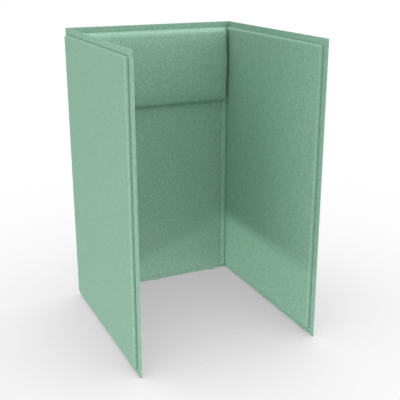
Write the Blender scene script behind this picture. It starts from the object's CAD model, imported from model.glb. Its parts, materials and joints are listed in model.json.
import json
from math import atan2, cos, exp, pi, radians, sin, tan

import bmesh
import bpy
import numpy as np
from mathutils import Matrix, Vector, noise

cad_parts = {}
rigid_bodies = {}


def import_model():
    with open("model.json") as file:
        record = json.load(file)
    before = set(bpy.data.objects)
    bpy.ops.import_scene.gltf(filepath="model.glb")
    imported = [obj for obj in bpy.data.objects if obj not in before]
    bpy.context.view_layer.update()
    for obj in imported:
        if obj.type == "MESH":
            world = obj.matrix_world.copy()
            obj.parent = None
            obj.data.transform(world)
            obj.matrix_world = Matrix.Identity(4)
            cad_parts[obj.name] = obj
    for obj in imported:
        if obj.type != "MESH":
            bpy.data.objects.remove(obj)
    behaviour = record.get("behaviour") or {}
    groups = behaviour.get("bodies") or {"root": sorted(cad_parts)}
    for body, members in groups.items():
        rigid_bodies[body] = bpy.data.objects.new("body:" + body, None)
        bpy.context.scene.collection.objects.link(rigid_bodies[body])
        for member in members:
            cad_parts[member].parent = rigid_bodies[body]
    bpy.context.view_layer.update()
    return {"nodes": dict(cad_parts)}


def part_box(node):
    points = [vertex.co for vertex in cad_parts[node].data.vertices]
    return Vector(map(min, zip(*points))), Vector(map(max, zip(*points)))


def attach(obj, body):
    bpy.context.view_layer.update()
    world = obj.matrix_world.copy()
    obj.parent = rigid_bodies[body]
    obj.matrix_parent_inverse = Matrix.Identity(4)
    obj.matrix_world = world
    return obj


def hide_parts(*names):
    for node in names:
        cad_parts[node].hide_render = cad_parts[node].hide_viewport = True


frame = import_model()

# The scene is in metres: the part's lengths are written in millimetres here, and the stage's in metres
MM = 0.001

# Points nearer than this to a plane lie on it
TOUCH = 0.1 * MM

# Camera, solved from the photograph's straight edges
CAMERA_PLACE = Vector((-1762.4, -3985.8, 2238.0)) * MM
CAMERA_YAW = radians(24.78)
CAMERA_PITCH = radians(18.50)
CAMERA_ROLL = radians(-0.04)
CAMERA_FOCAL_PIXELS = 739.22
PHOTO_PIXELS = 400
SENSOR_WIDTH = 36.0

# Cloth: sizes of its weave, thick threads, heather and slow drift in tone, and what each adds to its tone
WEAVE_PITCH = 1.9 * MM
SLUB_SIZE = 1.3 * WEAVE_PITCH
SLUB_STRETCH = 0.12
HEATHER_SIZE = 15 * MM
DRIFT_SIZE = 90 * MM
HEATHER_SHARE = 0.62
SLUB_SHARE = 0.30
DRIFT_SHARE = 0.08
WEAVE_SHARE = 0.05
TONE_REACH = (0.34, 0.78)
TONE_DARK = (0.168, 0.336, 0.221)
TONE_LIGHT = (0.299, 0.504, 0.395)
CLOTH_ROUGHNESS = 0.5
CLOTH_GLOSS = 0.5
CLOTH_BUMP = 0.35
CLOTH_RELIEF = 0.35 * MM
SLUB_RELIEF = 1.2

# Metal, plastic and foam
SPECKLE_REACH = (0.3, 0.7)
SPECKLE_BUMP = 0.3
SPECKLE_RELIEF = 0.05 * MM

# Bare board, with its grain drawn out upwards
FIBRE_SIZE = 4 * MM
FIBRE_STRETCH = 0.08
FIBRE_BUMP = 0.2
FIBRE_RELIEF = 0.1 * MM
FIBRE_ROUGHNESS = 0.6

# Segments of a rounded edge, for each half of its quarter turn
EDGE_SEGMENTS = 4

# Pads
PAD_EDGE_RADIUS = 16 * MM
PAD_STEP = 16 * MM
PAD_CROWN = 0.8 * MM
PAD_RIPPLE = 0.35 * MM
PAD_RIPPLE_SIZE = 70 * MM
PAD_PULL_SIZE = 24 * MM
PAD_TUCK = 0.8 * MM
PAD_TUCK_HEIGHT = 3.5 * MM
PLEAT_INSET = 20 * MM
PLEAT_WIDTH = 1.6 * MM
PLEAT_DEPTH = 1.4 * MM
PLEAT_STOPS = (-1.5, -0.75, 0, 0.75, 1.5)

# Pads: (name, axis through it, direction of its front)
PADS = [
    ("left_outer_pad", 0, -1),
    ("left_inner_pad", 0, 1),
    ("right_outer_pad", 0, 1),
    ("right_inner_pad", 0, -1),
    ("back_outer_pad", 1, 1),
    ("back_inner_pad", 1, -1),
]

# Linings of the back corners. The full part of the back pad stops a margin short of its CAD solid, and a
# lining runs on from under it, obliquely to a groove beside the side pad. Seat is its start's distance from
# the pad's back, and forward its finish's from the pad's face
BACK_CORNER_MARGIN = 27 * MM
LINING_LAP = 9 * MM
LINING_SEAT = 18.5 * MM
LINING_FORWARD = 8 * MM
LINING_FULLNESS = 0.8 * MM
LINING_SEGMENTS = 6
GROOVE_WIDTH = 3 * MM
GROOVE_DEPTH = 9 * MM

# How the linings turn in at their foot and head: (distance from the end, distance in)
LINING_ENDS = ((0.0, 5 * MM), (1.5 * MM, 2.2 * MM), (5 * MM, 0.0))

# Wrapped boards
BOARD_EDGE_RADIUS = 3.8 * MM
BOARD_SHARP_RADIUS = 0.8 * MM
BOARD_STEP = 30 * MM
BOARD_RIPPLE = 0.15 * MM
BOARD_RIPPLE_SIZE = 45 * MM

# Cushion, and the points that its outline and length are divided by
CUSHION_CORNER_RADIUS = 42 * MM
CUSHION_END_RADIUS = 10 * MM
CUSHION_END_DEPTH = 50 * MM
CUSHION_END_FULLNESS = 8 * MM
CUSHION_END_REACH = 60 * MM
CUSHION_CORNER_PARTS = 12
CUSHION_FRONT_PARTS = 24
CUSHION_END_PARTS = 6
CUSHION_SHOULDER_STEP = 15 * MM
CUSHION_SHOULDER_PARTS = 2
CUSHION_BODY_POINTS = 60
SEAM_WIDTH = 2.2 * MM
SEAM_DEPTH = 1.6 * MM
SEAM_INSET = 7 * MM

# Swelling of the cushion, from a form that is smaller by the shrink
CUSHION_SHRINK = 1.5 * MM
CUSHION_VOXEL = 6 * MM
CUSHION_SWELL_LIMIT = 2.5 * MM
CUSHION_HELD_DEPTH = 4 * MM
CUSHION_FRAMES = 20
CUSHION_CLOTH = {
    "quality": 4,
    "mass": 0.4,
    "tension_stiffness": 30,
    "compression_stiffness": 30,
    "shear_stiffness": 12,
    "bending_stiffness": 2,
    "use_pressure": True,
    "uniform_pressure_force": 4.0,
}
TINY_MOVE = 1e-9

# Sky: its strength overhead, from below and towards the sides
SKY_TOP = 1.83
SKY_BELOW = 0.16
SKY_FRONT = 0.58
SKY_LEFT = 0.87
SKY_RIGHT = 2.22

# Low light: its place from the left board, what it rises for each metre, and its strip's middle and size
LOW_LIGHT_WATTS = 379.2
LOW_LIGHT_AWAY = 8.0
LOW_LIGHT_RISE = 0.39
LOW_LIGHT_MIDDLE = -1.9
LOW_LIGHT_LENGTH = 7.7
LOW_LIGHT_WIDTH = 0.69

# Floor: its tone in the open and in full shade
FLOOR_OPEN = 1.01
FLOOR_SHADE = 0.35
FLOOR_SAMPLES = 8
FLOOR_REACH = 60.0


def add_node(tree, kind, inputs=None, **settings):
    """A shader node with its settings, and with each input set to a value or linked to a socket."""
    made = tree.nodes.new(kind)
    for name, value in settings.items():
        setattr(made, name, value)
    for name, value in (inputs or {}).items():
        if isinstance(value, bpy.types.NodeSocket):
            tree.links.new(value, made.inputs[name])
        else:
            made.inputs[name].default_value = value
    return made


def new_material(name):
    """An empty node material, with its tree and its shader."""
    material = bpy.data.materials.new(name)
    material.use_nodes = True
    tree = material.node_tree
    return material, tree, tree.nodes["Principled BSDF"]


def calculate(tree, operation, first, second=0.0):
    """The result socket of a maths node."""
    return add_node(tree, "ShaderNodeMath", {0: first, 1: second}, operation=operation).outputs[0]


def weigh(tree, parts):
    """The socket of a sum: parts holds what is added, each with its weight."""
    total = None
    for socket, weight in parts:
        share = calculate(tree, "MULTIPLY", socket, weight)
        total = share if total is None else calculate(tree, "ADD", total, share)
    return total


def stretch(tree, vector, factors):
    """A vector's socket with each part multiplied: a pattern read at it grows where a factor is small."""
    return add_node(tree, "ShaderNodeVectorMath", {0: vector, 1: factors}, operation="MULTIPLY").outputs[0]


def grain(tree, vector, size, detail=2.0, roughness=0.55):
    """The value socket of a noise with features of a given size."""
    inputs = {"Vector": vector, "Scale": 1 / size, "Detail": detail, "Roughness": roughness}
    return add_node(tree, "ShaderNodeTexNoise", inputs).outputs["Fac"]


def tint(tree, shader, value, reach, dark, light):
    """Colour a shader from dark to light, as the value goes through its reach."""
    ramp = add_node(tree, "ShaderNodeValToRGB", {"Fac": value})
    for stop, position, colour in zip(ramp.color_ramp.elements, reach, (dark, light)):
        stop.position = position
        stop.color = (*colour, 1)
    tree.links.new(ramp.outputs["Color"], shader.inputs["Base Color"])


def emboss(tree, shader, height, strength, relief):
    """Give a shader's surface a fine relief."""
    bump = add_node(tree, "ShaderNodeBump", {"Height": height, "Strength": strength, "Distance": relief})
    tree.links.new(bump.outputs["Normal"], shader.inputs["Normal"])


def cloth_plane(tree, lean):
    """Sockets of the place on the cloth: in space, level round the screen, and up it.

    lean is what the last one takes of X and of Y, so that threads run on over edges that face up.
    """
    place = add_node(tree, "ShaderNodeTexCoord").outputs["Object"]
    parts = add_node(tree, "ShaderNodeSeparateXYZ", {0: place}).outputs
    level = calculate(tree, "ADD", parts["X"], parts["Y"])
    up = weigh(tree, ((parts["Z"], 1.0), (parts["X"], lean[0]), (parts["Y"], lean[1])))
    return place, level, up


def cloth_material(name, lean):
    """Flat wool melange: heathered sage threads, some thicker, in a fine plain weave."""
    material, tree, shader = new_material(name)
    place, level, up = cloth_plane(tree, lean)
    flat = add_node(tree, "ShaderNodeCombineXYZ", {"X": level, "Y": up}).outputs[0]

    turn = 2 * pi / WEAVE_PITCH
    across = calculate(tree, "SINE", calculate(tree, "MULTIPLY", level, turn))
    along = calculate(tree, "SINE", calculate(tree, "MULTIPLY", up, turn))
    weave = calculate(tree, "MULTIPLY", across, along)

    level_slub = grain(tree, stretch(tree, flat, (SLUB_STRETCH, 1.0, 1.0)), SLUB_SIZE)
    upright_slub = grain(tree, stretch(tree, flat, (1.0, SLUB_STRETCH, 1.0)), SLUB_SIZE)
    slub = calculate(tree, "ADD", level_slub, upright_slub)

    heather = grain(tree, place, HEATHER_SIZE, detail=3.0, roughness=0.5)
    drift = grain(tree, place, DRIFT_SIZE)
    shares = ((heather, HEATHER_SHARE), (slub, SLUB_SHARE), (drift, DRIFT_SHARE), (weave, WEAVE_SHARE))
    tint(tree, shader, weigh(tree, shares), TONE_REACH, TONE_DARK, TONE_LIGHT)
    relief = weigh(tree, ((weave, 1.0), (slub, SLUB_RELIEF)))
    emboss(tree, shader, relief, CLOTH_BUMP, CLOTH_RELIEF)
    shader.inputs["Roughness"].default_value = CLOTH_ROUGHNESS
    shader.inputs["Specular IOR Level"].default_value = CLOTH_GLOSS
    return material


def speckled_material(name, dark, light, size, roughness, metallic=0.0):
    """A plain surface with fine variation of its colour and height."""
    material, tree, shader = new_material(name)
    place = add_node(tree, "ShaderNodeTexCoord").outputs["Object"]
    value = grain(tree, place, size, detail=3.0)
    tint(tree, shader, value, SPECKLE_REACH, dark, light)
    emboss(tree, shader, value, SPECKLE_BUMP, SPECKLE_RELIEF)
    shader.inputs["Roughness"].default_value = roughness
    shader.inputs["Metallic"].default_value = metallic
    return material


def board_material(name, dark, light):
    """Thin board with an upright grain."""
    material, tree, shader = new_material(name)
    place = add_node(tree, "ShaderNodeTexCoord").outputs["Object"]
    drawn = stretch(tree, place, (1.0, 1.0, FIBRE_STRETCH))
    value = grain(tree, drawn, FIBRE_SIZE, detail=5.0, roughness=0.65)
    tint(tree, shader, value, SPECKLE_REACH, dark, light)
    emboss(tree, shader, value, FIBRE_BUMP, FIBRE_RELIEF)
    shader.inputs["Roughness"].default_value = FIBRE_ROUGHNESS
    return material


def mesh_of(name, shell):
    """A mesh made from a shell, which is freed."""
    mesh = bpy.data.meshes.new(name)
    shell.to_mesh(mesh)
    shell.free()
    return mesh


def make_object(name, mesh, material):
    """Put a mesh in the scene, smooth shaded, with its material."""
    piece = bpy.data.objects.new(name, mesh)
    bpy.context.scene.collection.objects.link(piece)
    mesh.materials.append(material)
    mesh.polygons.foreach_set("use_smooth", [True] * len(mesh.polygons))
    return piece


def edge_turn(radius, extra=()):
    """Distances in from an edge, for points spread evenly round it and then at the extra distances."""
    turn = [radius * (1 - tan(pi / 4 * part / EDGE_SEGMENTS)) for part in range(EDGE_SEGMENTS, -1, -1)]
    return turn + list(extra)


def stops(low, high, radii, step, extra=()):
    """Coordinates from low to high: close together over both rounded ends, about a step apart between."""
    start, finish = edge_turn(radii[0], extra), edge_turn(radii[1], extra)
    first, last = low + start[-1], high - finish[-1]
    count = max(1, round((last - first) / step))
    middle = [first + (last - first) * part / count for part in range(1, count)]
    return [low + offset for offset in start] + middle + [high - offset for offset in reversed(finish)]


def box_shell(xs, ys, zs):
    """A closed shell of quads on the surface of a box, with its points at the given coordinates."""
    shell = bmesh.new()
    grid = (xs, ys, zs)
    points = {}

    def point(key):
        if key not in points:
            points[key] = shell.verts.new([grid[axis][key[axis]] for axis in range(3)])
        return points[key]

    for axis in range(3):
        first, second = [other for other in range(3) if other != axis]
        for end in (0, len(grid[axis]) - 1):
            for a in range(len(grid[first]) - 1):
                for b in range(len(grid[second]) - 1):
                    ring = []
                    for step_a, step_b in ((0, 0), (1, 0), (1, 1), (0, 1)):
                        key = [end, end, end]
                        key[first] = a + step_a
                        key[second] = b + step_b
                        ring.append(point(tuple(key)))
                    shell.faces.new(ring)
    bmesh.ops.recalc_face_normals(shell, faces=shell.faces)
    return shell


def round_edges(shell, low, high, radii):
    """Pull the points of a box shell on to rounded edges inside the limits low and high.

    radii holds, for each axis, the radius at its low and at its high side.
    """
    for vertex in shell.verts:
        core = Vector([min(max(vertex.co[axis], low[axis] + radii[axis][0]), high[axis] - radii[axis][1])
                       for axis in range(3)])
        away = vertex.co - core
        if away.length > 0:
            size = Vector([radii[axis][1 if away[axis] > 0 else 0] for axis in range(3)])
            share = Vector([away[axis] / size[axis] for axis in range(3)])
            share = share.normalized() * max(abs(part) for part in share)
            vertex.co = core + Vector([share[axis] * size[axis] for axis in range(3)])


def pad_shell(low, high, thin, back, out):
    """Shell of a pad between two corners: its back is flat, and its front and edges are rounded.

    thin is the axis through the pad, back its back's place on that axis, and out its front's direction.
    """
    radii = [(PAD_EDGE_RADIUS, PAD_EDGE_RADIUS)] * 3
    pleats = [PLEAT_INSET + PLEAT_WIDTH * step for step in PLEAT_STOPS]
    grid = [stops(low[axis], high[axis], radii[axis], PAD_STEP, pleats) for axis in range(3)]
    depth = high[thin] - low[thin]
    rise = [0.0, PAD_TUCK_HEIGHT / 2] + [depth - offset for offset in reversed(edge_turn(PAD_EDGE_RADIUS))]
    grid[thin] = sorted(back + out * level for level in rise)
    shell = box_shell(*grid)

    behind_low, behind_high = list(low), list(high)
    if out > 0:
        behind_low[thin] = back - PAD_EDGE_RADIUS
    else:
        behind_high[thin] = back + PAD_EDGE_RADIUS
    round_edges(shell, behind_low, behind_high, radii)
    return shell


def pad_mesh(low, high, thin, out, seed):
    """Upholstered pad: cloth tucked in at the back, full and rippled a little, pleated near the ends."""
    back = low[thin] if out > 0 else high[thin]
    shell = pad_shell(low, high, thin, back, out)
    sides = [axis for axis in range(3) if axis != thin]
    depth = high[thin] - low[thin]
    middle = [(low[axis] + high[axis]) / 2 for axis in range(3)]
    half = [(high[axis] - low[axis]) / 2 for axis in range(3)]
    shell.normal_update()
    for vertex in shell.verts:
        level = abs(vertex.co[thin] - back)
        for axis in sides:
            gap = half[axis] - abs(vertex.co[axis] - middle[axis])
            if gap < TOUCH and level < PAD_TUCK_HEIGHT:
                tuck = PAD_TUCK * (1 - level / PAD_TUCK_HEIGHT) ** 2
                vertex.co[axis] -= tuck if vertex.co[axis] > middle[axis] else -tuck
        if level < TOUCH:
            continue
        share = min(1.0, level / depth)
        reach = [abs(vertex.co[axis] - middle[axis]) / half[axis] for axis in sides]
        full = (1 - reach[0] ** 4) * (1 - reach[1] ** 4)
        ripple = noise.noise(vertex.co / PAD_RIPPLE_SIZE + Vector((seed, 0, 0)))
        pull = noise.noise(vertex.co / PAD_PULL_SIZE + Vector((0, seed, 0))) * (1 - full)
        lift = share * (PAD_CROWN * full + PAD_RIPPLE * ripple + PAD_RIPPLE * pull)
        crease = 0.0
        if reach[1] * half[sides[1]] > half[sides[1]] - PAD_EDGE_RADIUS:
            end_gap = half[sides[0]] - abs(vertex.co[sides[0]] - middle[sides[0]])
            crease = PLEAT_DEPTH * exp(-(((end_gap - PLEAT_INSET) / PLEAT_WIDTH) ** 2)) * (1 - share**3)
        vertex.co = vertex.co + vertex.normal * (lift - crease)
    return mesh_of("pad", shell)


def lining_mesh(start, finish, rear, foot, head, mirrored):
    """Upright cloth lining, in plan from start to a groove at finish, and closed along the line rear."""
    across = Vector((finish[0] - start[0], finish[1] - start[1]))
    forward = Vector((across.y, -across.x)).normalized()
    groove = finish[0] + GROOVE_WIDTH
    hidden = ((groove, finish[1] + GROOVE_DEPTH), (groove, rear), (start[0], rear))
    rows = [(foot + rise, inset) for rise, inset in LINING_ENDS]
    steps = round((head - foot) / BOARD_STEP)
    rows += [(foot + (head - foot) * step / steps, 0.0) for step in range(1, steps)]
    rows += [(head - rise, inset) for rise, inset in reversed(LINING_ENDS)]
    shell = bmesh.new()
    rings = []
    for height, inset in rows:
        ring = []
        for part in range(LINING_SEGMENTS + 1):
            share = part / LINING_SEGMENTS
            place = Vector((start[0], start[1])) + across * share
            place += forward * (LINING_FULLNESS * sin(pi * share) - inset)
            ring.append(shell.verts.new((place.x, place.y, height)))
        ring += [shell.verts.new((x, y, height)) for x, y in hidden]
        rings.append(ring)
    for lower, upper in zip(rings, rings[1:]):
        for part in range(len(lower)):
            following = (part + 1) % len(lower)
            shell.faces.new((lower[part], lower[following], upper[following], upper[part]))
    shell.faces.new(reversed(rings[0]))
    shell.faces.new(rings[-1])
    if mirrored:
        for vertex in shell.verts:
            vertex.co.x = -vertex.co.x
    bmesh.ops.recalc_face_normals(shell, faces=shell.faces)
    return mesh_of("lining", shell)


def back_pad_and_linings(low, high):
    """Corners of the back pad's full part, and the linings that close the screen's corners beside it."""
    side_face, back_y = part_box("right_inner_pad_cover")[0][0], high[1]
    end = high[0] - BACK_CORNER_MARGIN
    start = (end - LINING_LAP, back_y - LINING_SEAT)
    finish = (side_face - GROOVE_WIDTH, low[1] - LINING_FORWARD)
    linings = [lining_mesh(start, finish, back_y, low[2], high[2], mirrored) for mirrored in (False, True)]
    return (-end, low[1], low[2]), (end, high[1], high[2]), linings


def sew_together(name, meshes):
    """One mesh that takes the place of several."""
    sewn = bmesh.new()
    for mesh in meshes:
        sewn.from_mesh(mesh)
        bpy.data.meshes.remove(mesh)
    return mesh_of(name, sewn)


def board_mesh(low, high, joined, seed):
    """Wrapped board: edges eased, sharper at the foot and at joined ends, and cloth not quite flat."""
    eased, sharp = (BOARD_EDGE_RADIUS, BOARD_EDGE_RADIUS), (BOARD_SHARP_RADIUS, BOARD_SHARP_RADIUS)
    radii = [sharp if joined else eased, eased, (BOARD_SHARP_RADIUS, BOARD_EDGE_RADIUS)]
    shell = box_shell(*[stops(low[axis], high[axis], radii[axis], BOARD_STEP) for axis in range(3)])
    round_edges(shell, low, high, radii)
    shell.normal_update()
    for vertex in shell.verts:
        ripple = noise.noise(vertex.co / BOARD_RIPPLE_SIZE + Vector((seed, 0, 0)))
        vertex.co = vertex.co + vertex.normal * (BOARD_RIPPLE * min(0.0, ripple))
    return mesh_of("board", shell)


def cushion_section(height, depth, corner):
    """Half outline of the crowned section: (forward, up) from its top rear corner to mid front."""
    reach = height / 2 - corner
    crown = (depth**2 + reach**2 - corner**2) / (2 * (depth - corner))
    slope = atan2(reach, crown - depth)
    points = []
    for part in range(CUSHION_CORNER_PARTS + 1):
        angle = pi / 2 + (slope - pi / 2) * part / CUSHION_CORNER_PARTS
        points.append((corner * cos(angle), reach + corner * sin(angle)))
    for part in range(1, CUSHION_FRONT_PARTS + 1):
        angle = slope * (1 - part / CUSHION_FRONT_PARTS)
        points.append((depth - crown + crown * cos(angle), crown * sin(angle)))
    return points


def cushion_stations(length):
    """Places of the cushion's rings along it: close together round its ends and on its shoulders."""
    turn = [1 - cos(pi / 2 * part / CUSHION_END_PARTS) for part in range(CUSHION_END_PARTS + 1)]
    start = [-length / 2 + CUSHION_END_RADIUS * share for share in turn]
    for part in range(1, CUSHION_SHOULDER_PARTS + 1):
        start.append(-length / 2 + CUSHION_END_RADIUS + CUSHION_SHOULDER_STEP * part)
    body = list(np.linspace(start[-1], -start[-1], CUSHION_BODY_POINTS)[1:-1])
    return start + body + [-station for station in reversed(start)]


def cushion_rings(length, height, end_depth, middle_depth):
    """Rings of points from one end of the cushion to the other, drawn in round the ends."""
    rings = []
    for station in cushion_stations(length):
        gap = length / 2 - abs(station)
        inset = 0.0
        if gap < CUSHION_END_RADIUS:
            inset = CUSHION_END_RADIUS - (CUSHION_END_RADIUS**2 - (CUSHION_END_RADIUS - gap) ** 2) ** 0.5
        depth = middle_depth + (end_depth - middle_depth) * (2 * station / length) ** 2
        squeeze = (height / 2 - inset) / (height / 2)
        near_end = max(0.0, 1 - gap / CUSHION_END_REACH)
        half = cushion_section(height, depth, CUSHION_CORNER_RADIUS)
        outline = half + [(forward, -up) for forward, up in reversed(half[:-1])]
        ring = []
        for forward, up in outline:
            full = CUSHION_END_FULLNESS * near_end**2 * (1 - (2 * up / height) ** 2)
            along = station + (full if station > 0 else -full)
            ring.append((along, forward * (depth - inset) / depth, up * squeeze))
        rings.append(ring)
    return rings


def cushion_mesh(face_y, middle_height, length, height, end_depth, middle_depth):
    """Closed form of the cushion in front of the pad's face."""
    shell = bmesh.new()
    rows = []
    for ring in cushion_rings(length, height, end_depth, middle_depth):
        rows.append([shell.verts.new((x, face_y - forward, middle_height + up)) for x, forward, up in ring])
    for first, second in zip(rows, rows[1:]):
        for a in range(len(first)):
            b = (a + 1) % len(first)
            shell.faces.new((first[a], first[b], second[b], second[a]))
    shell.faces.new(rows[0])
    shell.faces.new(reversed(rows[-1]))
    bmesh.ops.recalc_face_normals(shell, faces=shell.faces)
    return mesh_of("cushion", shell)


def apply_modifier(piece, name):
    """Apply a modifier with the piece as the only active object."""
    for other in bpy.context.view_layer.objects:
        other.select_set(other == piece)
    bpy.context.view_layer.objects.active = piece
    bpy.ops.object.modifier_apply(modifier=name)


def coordinates(mesh, attribute="co"):
    """The places of a mesh's points, or another attribute with three parts, as an array of rows."""
    flat = np.empty(len(mesh.vertices) * 3)
    mesh.vertices.foreach_get(attribute, flat)
    return flat.reshape(-1, 3)


def set_coordinates(mesh, places):
    """Move the mesh's points to the rows of an array."""
    mesh.vertices.foreach_set("co", np.asarray(places).reshape(-1))
    mesh.update()


def swell_cushion(piece, face_y):
    """Fill the cushion: its cloth swells under pressure, held along the back, up to the swell limit."""
    remesh = piece.modifiers.new("remesh", "REMESH")
    remesh.mode = "VOXEL"
    remesh.voxel_size = CUSHION_VOXEL
    apply_modifier(piece, "remesh")
    start = coordinates(piece.data)
    held = piece.vertex_groups.new(name="held")
    back = [int(index) for index in np.nonzero(start[:, 1] > face_y - CUSHION_HELD_DEPTH)[0]]
    held.add(back, 1.0, "REPLACE")
    cloth = piece.modifiers.new("cloth", "CLOTH")
    for name, value in CUSHION_CLOTH.items():
        setattr(cloth.settings, name, value)
    cloth.settings.effector_weights.gravity = 0
    cloth.settings.vertex_group_mass = "held"
    cloth.collision_settings.use_collision = False
    cloth.point_cache.frame_start = 1
    cloth.point_cache.frame_end = CUSHION_FRAMES
    for step in range(1, CUSHION_FRAMES + 1):
        bpy.context.scene.frame_set(step)
    apply_modifier(piece, "cloth")
    moved = coordinates(piece.data) - start
    distance = np.linalg.norm(moved, axis=1, keepdims=True)
    capped = CUSHION_SWELL_LIMIT * np.tanh(distance / CUSHION_SWELL_LIMIT)
    set_coordinates(piece.data, start + moved * capped / np.maximum(distance, TINY_MOVE))
    bpy.context.scene.frame_set(1)


def sew_ends(piece, length, face_y):
    """Press the end seams into the cushion, where the front panel meets the end panels."""
    places, normals = coordinates(piece.data), coordinates(piece.data, "normal")
    gap = length / 2 - np.abs(places[:, 0])
    dent = SEAM_DEPTH * np.exp(-(((gap - SEAM_INSET) / SEAM_WIDTH) ** 2))
    dent *= places[:, 1] < face_y - CUSHION_HELD_DEPTH
    set_coordinates(piece.data, places - normals * dent[:, None])


def make_boards():
    """The three thin boards in their fabric."""
    for seed, side in enumerate(("left", "back", "right")):
        low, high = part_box(f"{side}_core_cover")
        material = cloth_back if side == "back" else cloth_side
        piece = make_object(f"{side}_wrapped_board", board_mesh(low, high, side == "back", seed), material)
        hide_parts(f"{side}_core_cover")
        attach(piece, "root")


def make_pads():
    """The six upholstered pads, the back's inner one with its corner linings."""
    for seed, (name, thin, out) in enumerate(PADS):
        low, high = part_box(f"{name}_cover")
        linings = []
        if name == "back_inner_pad":
            low, high, linings = back_pad_and_linings(low, high)
        material = cloth_back if thin == 1 else cloth_side
        mesh = sew_together(name, [pad_mesh(low, high, thin, out, seed)] + linings)
        piece = make_object(f"{name}_upholstery", mesh, material)
        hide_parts(f"{name}_cover", f"{name}_foam")
        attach(piece, "root")


def make_cushion():
    low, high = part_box("cushion_cover")
    length, depth, height = (high[axis] - low[axis] for axis in range(3))
    face_y = high[1]
    shrink = CUSHION_SHRINK
    middle_height = (low[2] + high[2]) / 2
    end_depth, middle_depth = CUSHION_END_DEPTH - shrink, depth - shrink
    mesh = cushion_mesh(face_y, middle_height, length, height, end_depth, middle_depth)
    piece = make_object("headrest_cushion", mesh, cloth_cushion)
    swell_cushion(piece, face_y)
    smooth = piece.modifiers.new("smooth", "SUBSURF")
    smooth.levels = smooth.render_levels = 1
    apply_modifier(piece, "smooth")
    sew_ends(piece, length, face_y)
    piece.data.polygons.foreach_set("use_smooth", [True] * len(piece.data.polygons))
    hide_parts("cushion_cover", "cushion_foam")
    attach(piece, "root")


def finish_nodes():
    """Give every CAD node that stays its material."""
    for name, node in frame["nodes"].items():
        for ending, material in NODE_MATERIALS.items():
            if name.endswith(ending):
                for slot in node.material_slots:
                    slot.material = material


def make_floor():
    """Pale floor that glows evenly and is shaded, in plain grey, by what stands on it."""
    mesh = bpy.data.meshes.new("floor")
    corners = [(FLOOR_REACH * x, FLOOR_REACH * y, 0) for x, y in ((-1, -1), (1, -1), (1, 1), (-1, 1))]
    mesh.from_pydata(corners, [], [(0, 1, 2, 3)])
    material, tree, shader = new_material("floor")
    shade = add_node(tree, "ShaderNodeAmbientOcclusion", {"Distance": FLOOR_REACH}, samples=FLOOR_SAMPLES)
    open_tone = calculate(tree, "MULTIPLY", shade.outputs["AO"], FLOOR_OPEN - FLOOR_SHADE)
    tree.links.new(calculate(tree, "ADD", open_tone, FLOOR_SHADE), shader.inputs["Emission Strength"])
    shader.inputs["Emission Color"].default_value = (1, 1, 1, 1)
    shader.inputs["Base Color"].default_value = (0, 0, 0, 1)
    shader.inputs["Roughness"].default_value = 1.0
    shader.inputs["Specular IOR Level"].default_value = 0.0
    floor = make_object("floor", mesh, material)
    floor.visible_diffuse = False
    floor.visible_glossy = False
    floor.visible_shadow = False


def make_sky():
    """White sky all round, below the floor too: plain to see, and of its own strength to each side."""
    world = bpy.data.worlds.new("sky")
    bpy.context.scene.world = world
    world.use_nodes = True
    tree = world.node_tree
    toward = add_node(tree, "ShaderNodeTexCoord").outputs["Generated"]
    parts = add_node(tree, "ShaderNodeSeparateXYZ", {0: toward}).outputs
    lobes = []
    for axis, sign, strength in (
        ("Z", 1, SKY_TOP),
        ("Z", -1, SKY_BELOW),
        ("Y", -1, SKY_FRONT),
        ("X", -1, SKY_LEFT),
        ("X", 1, SKY_RIGHT),
    ):
        ahead = calculate(tree, "MAXIMUM", calculate(tree, "MULTIPLY", parts[axis], sign), 0.0)
        lobes.append((calculate(tree, "MULTIPLY", ahead, ahead), strength))
    seen = add_node(tree, "ShaderNodeLightPath").outputs["Is Camera Ray"]
    unseen = calculate(tree, "SUBTRACT", 1.0, seen)
    lighting = calculate(tree, "MULTIPLY", weigh(tree, lobes), unseen)
    tree.links.new(calculate(tree, "ADD", lighting, seen), tree.nodes["Background"].inputs["Strength"])
    tree.nodes["Background"].inputs["Color"].default_value = (1, 1, 1, 1)


def make_low_light():
    """A long, narrow light, low on the left: it shines in under that side, on the foot of the right one."""
    panel = bpy.data.lights.new("low_light", "AREA")
    panel.energy = LOW_LIGHT_WATTS
    panel.shape = "RECTANGLE"
    panel.size = LOW_LIGHT_LENGTH
    panel.size_y = LOW_LIGHT_WIDTH
    lamp = bpy.data.objects.new("low_light", panel)
    toward = Vector((1.0, 0.0, LOW_LIGHT_RISE)).normalized()
    long_way = Vector((0.0, 1.0, 0.0))
    turn = Matrix((long_way, (-toward).cross(long_way), -toward)).transposed()
    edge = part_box("left_core_cover")[0]
    place = Vector((edge[0] - LOW_LIGHT_AWAY, LOW_LIGHT_MIDDLE, -LOW_LIGHT_AWAY * LOW_LIGHT_RISE))
    lamp.matrix_world = Matrix.Translation(place) @ turn.to_4x4()
    bpy.context.scene.collection.objects.link(lamp)


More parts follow.
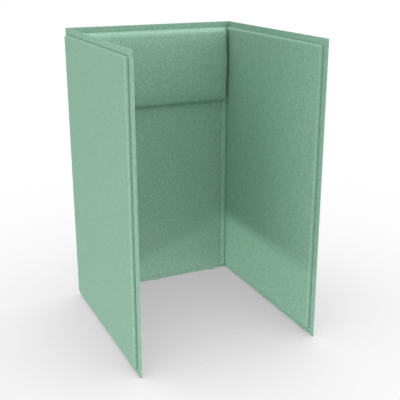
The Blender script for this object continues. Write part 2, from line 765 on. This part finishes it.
def make_camera():
    """The photograph's camera."""
    ahead = Vector((sin(CAMERA_YAW), cos(CAMERA_YAW), 0)) * cos(CAMERA_PITCH)
    forward = ahead - Vector((0, 0, sin(CAMERA_PITCH)))
    right = Vector((cos(CAMERA_YAW), -sin(CAMERA_YAW), 0))
    up = right.cross(forward)
    rolled_right = right * cos(CAMERA_ROLL) + up * sin(CAMERA_ROLL)
    rolled_up = up * cos(CAMERA_ROLL) - right * sin(CAMERA_ROLL)
    data = bpy.data.cameras.new("camera")
    data.sensor_width = SENSOR_WIDTH
    data.lens = CAMERA_FOCAL_PIXELS * SENSOR_WIDTH / PHOTO_PIXELS
    data.clip_end = 2 * FLOOR_REACH
    camera = bpy.data.objects.new("camera", data)
    camera.matrix_world = Matrix((rolled_right, rolled_up, -forward)).transposed().to_4x4()
    camera.location = CAMERA_PLACE
    bpy.context.scene.collection.objects.link(camera)
    bpy.context.scene.camera = camera


# Materials: the cloths differ only in the way that their threads run
cloth_side = cloth_material("cloth_side", (1.0, 0.0))
cloth_back = cloth_material("cloth_back", (0.0, 1.0))
cloth_cushion = cloth_material("cloth_cushion", (0.0, -1.0))
core_board = board_material("core_board", (0.30, 0.22, 0.15), (0.46, 0.36, 0.26))
pad_board = board_material("pad_board", (0.38, 0.28, 0.19), (0.55, 0.44, 0.32))
foam = speckled_material("foam", (0.62, 0.61, 0.56), (0.80, 0.79, 0.74), 1.5 * MM, 0.9)
nylon = speckled_material("nylon", (0.035, 0.035, 0.035), (0.06, 0.06, 0.06), 2 * MM, 0.45)
zinc = speckled_material("zinc", (0.52, 0.53, 0.55), (0.68, 0.69, 0.71), 6 * MM, 0.32, 1.0)
brass = speckled_material("brass", (0.62, 0.47, 0.22), (0.74, 0.60, 0.33), 1 * MM, 0.35, 1.0)
aluminium = speckled_material("aluminium", (0.66, 0.67, 0.69), (0.78, 0.79, 0.81), 1 * MM, 0.35, 1.0)

# Endings of the names of the CAD nodes that stay, and their materials
NODE_MATERIALS = {
    "_core_board": core_board,
    "_pad_board": pad_board,
    "cushion_board": pad_board,
    "_foam": foam,
    "_studs": nylon,
    "_glides": nylon,
    "_brackets": zinc,
    "_screws": zinc,
    "_inserts": brass,
    "_tee_nuts": zinc,
    "_bolts": zinc,
    "_spacers": aluminium,
}

bpy.context.scene.view_settings.view_transform = "Standard"
make_camera()
make_floor()
make_sky()
make_low_light()
make_boards()
make_pads()
make_cushion()
finish_nodes()
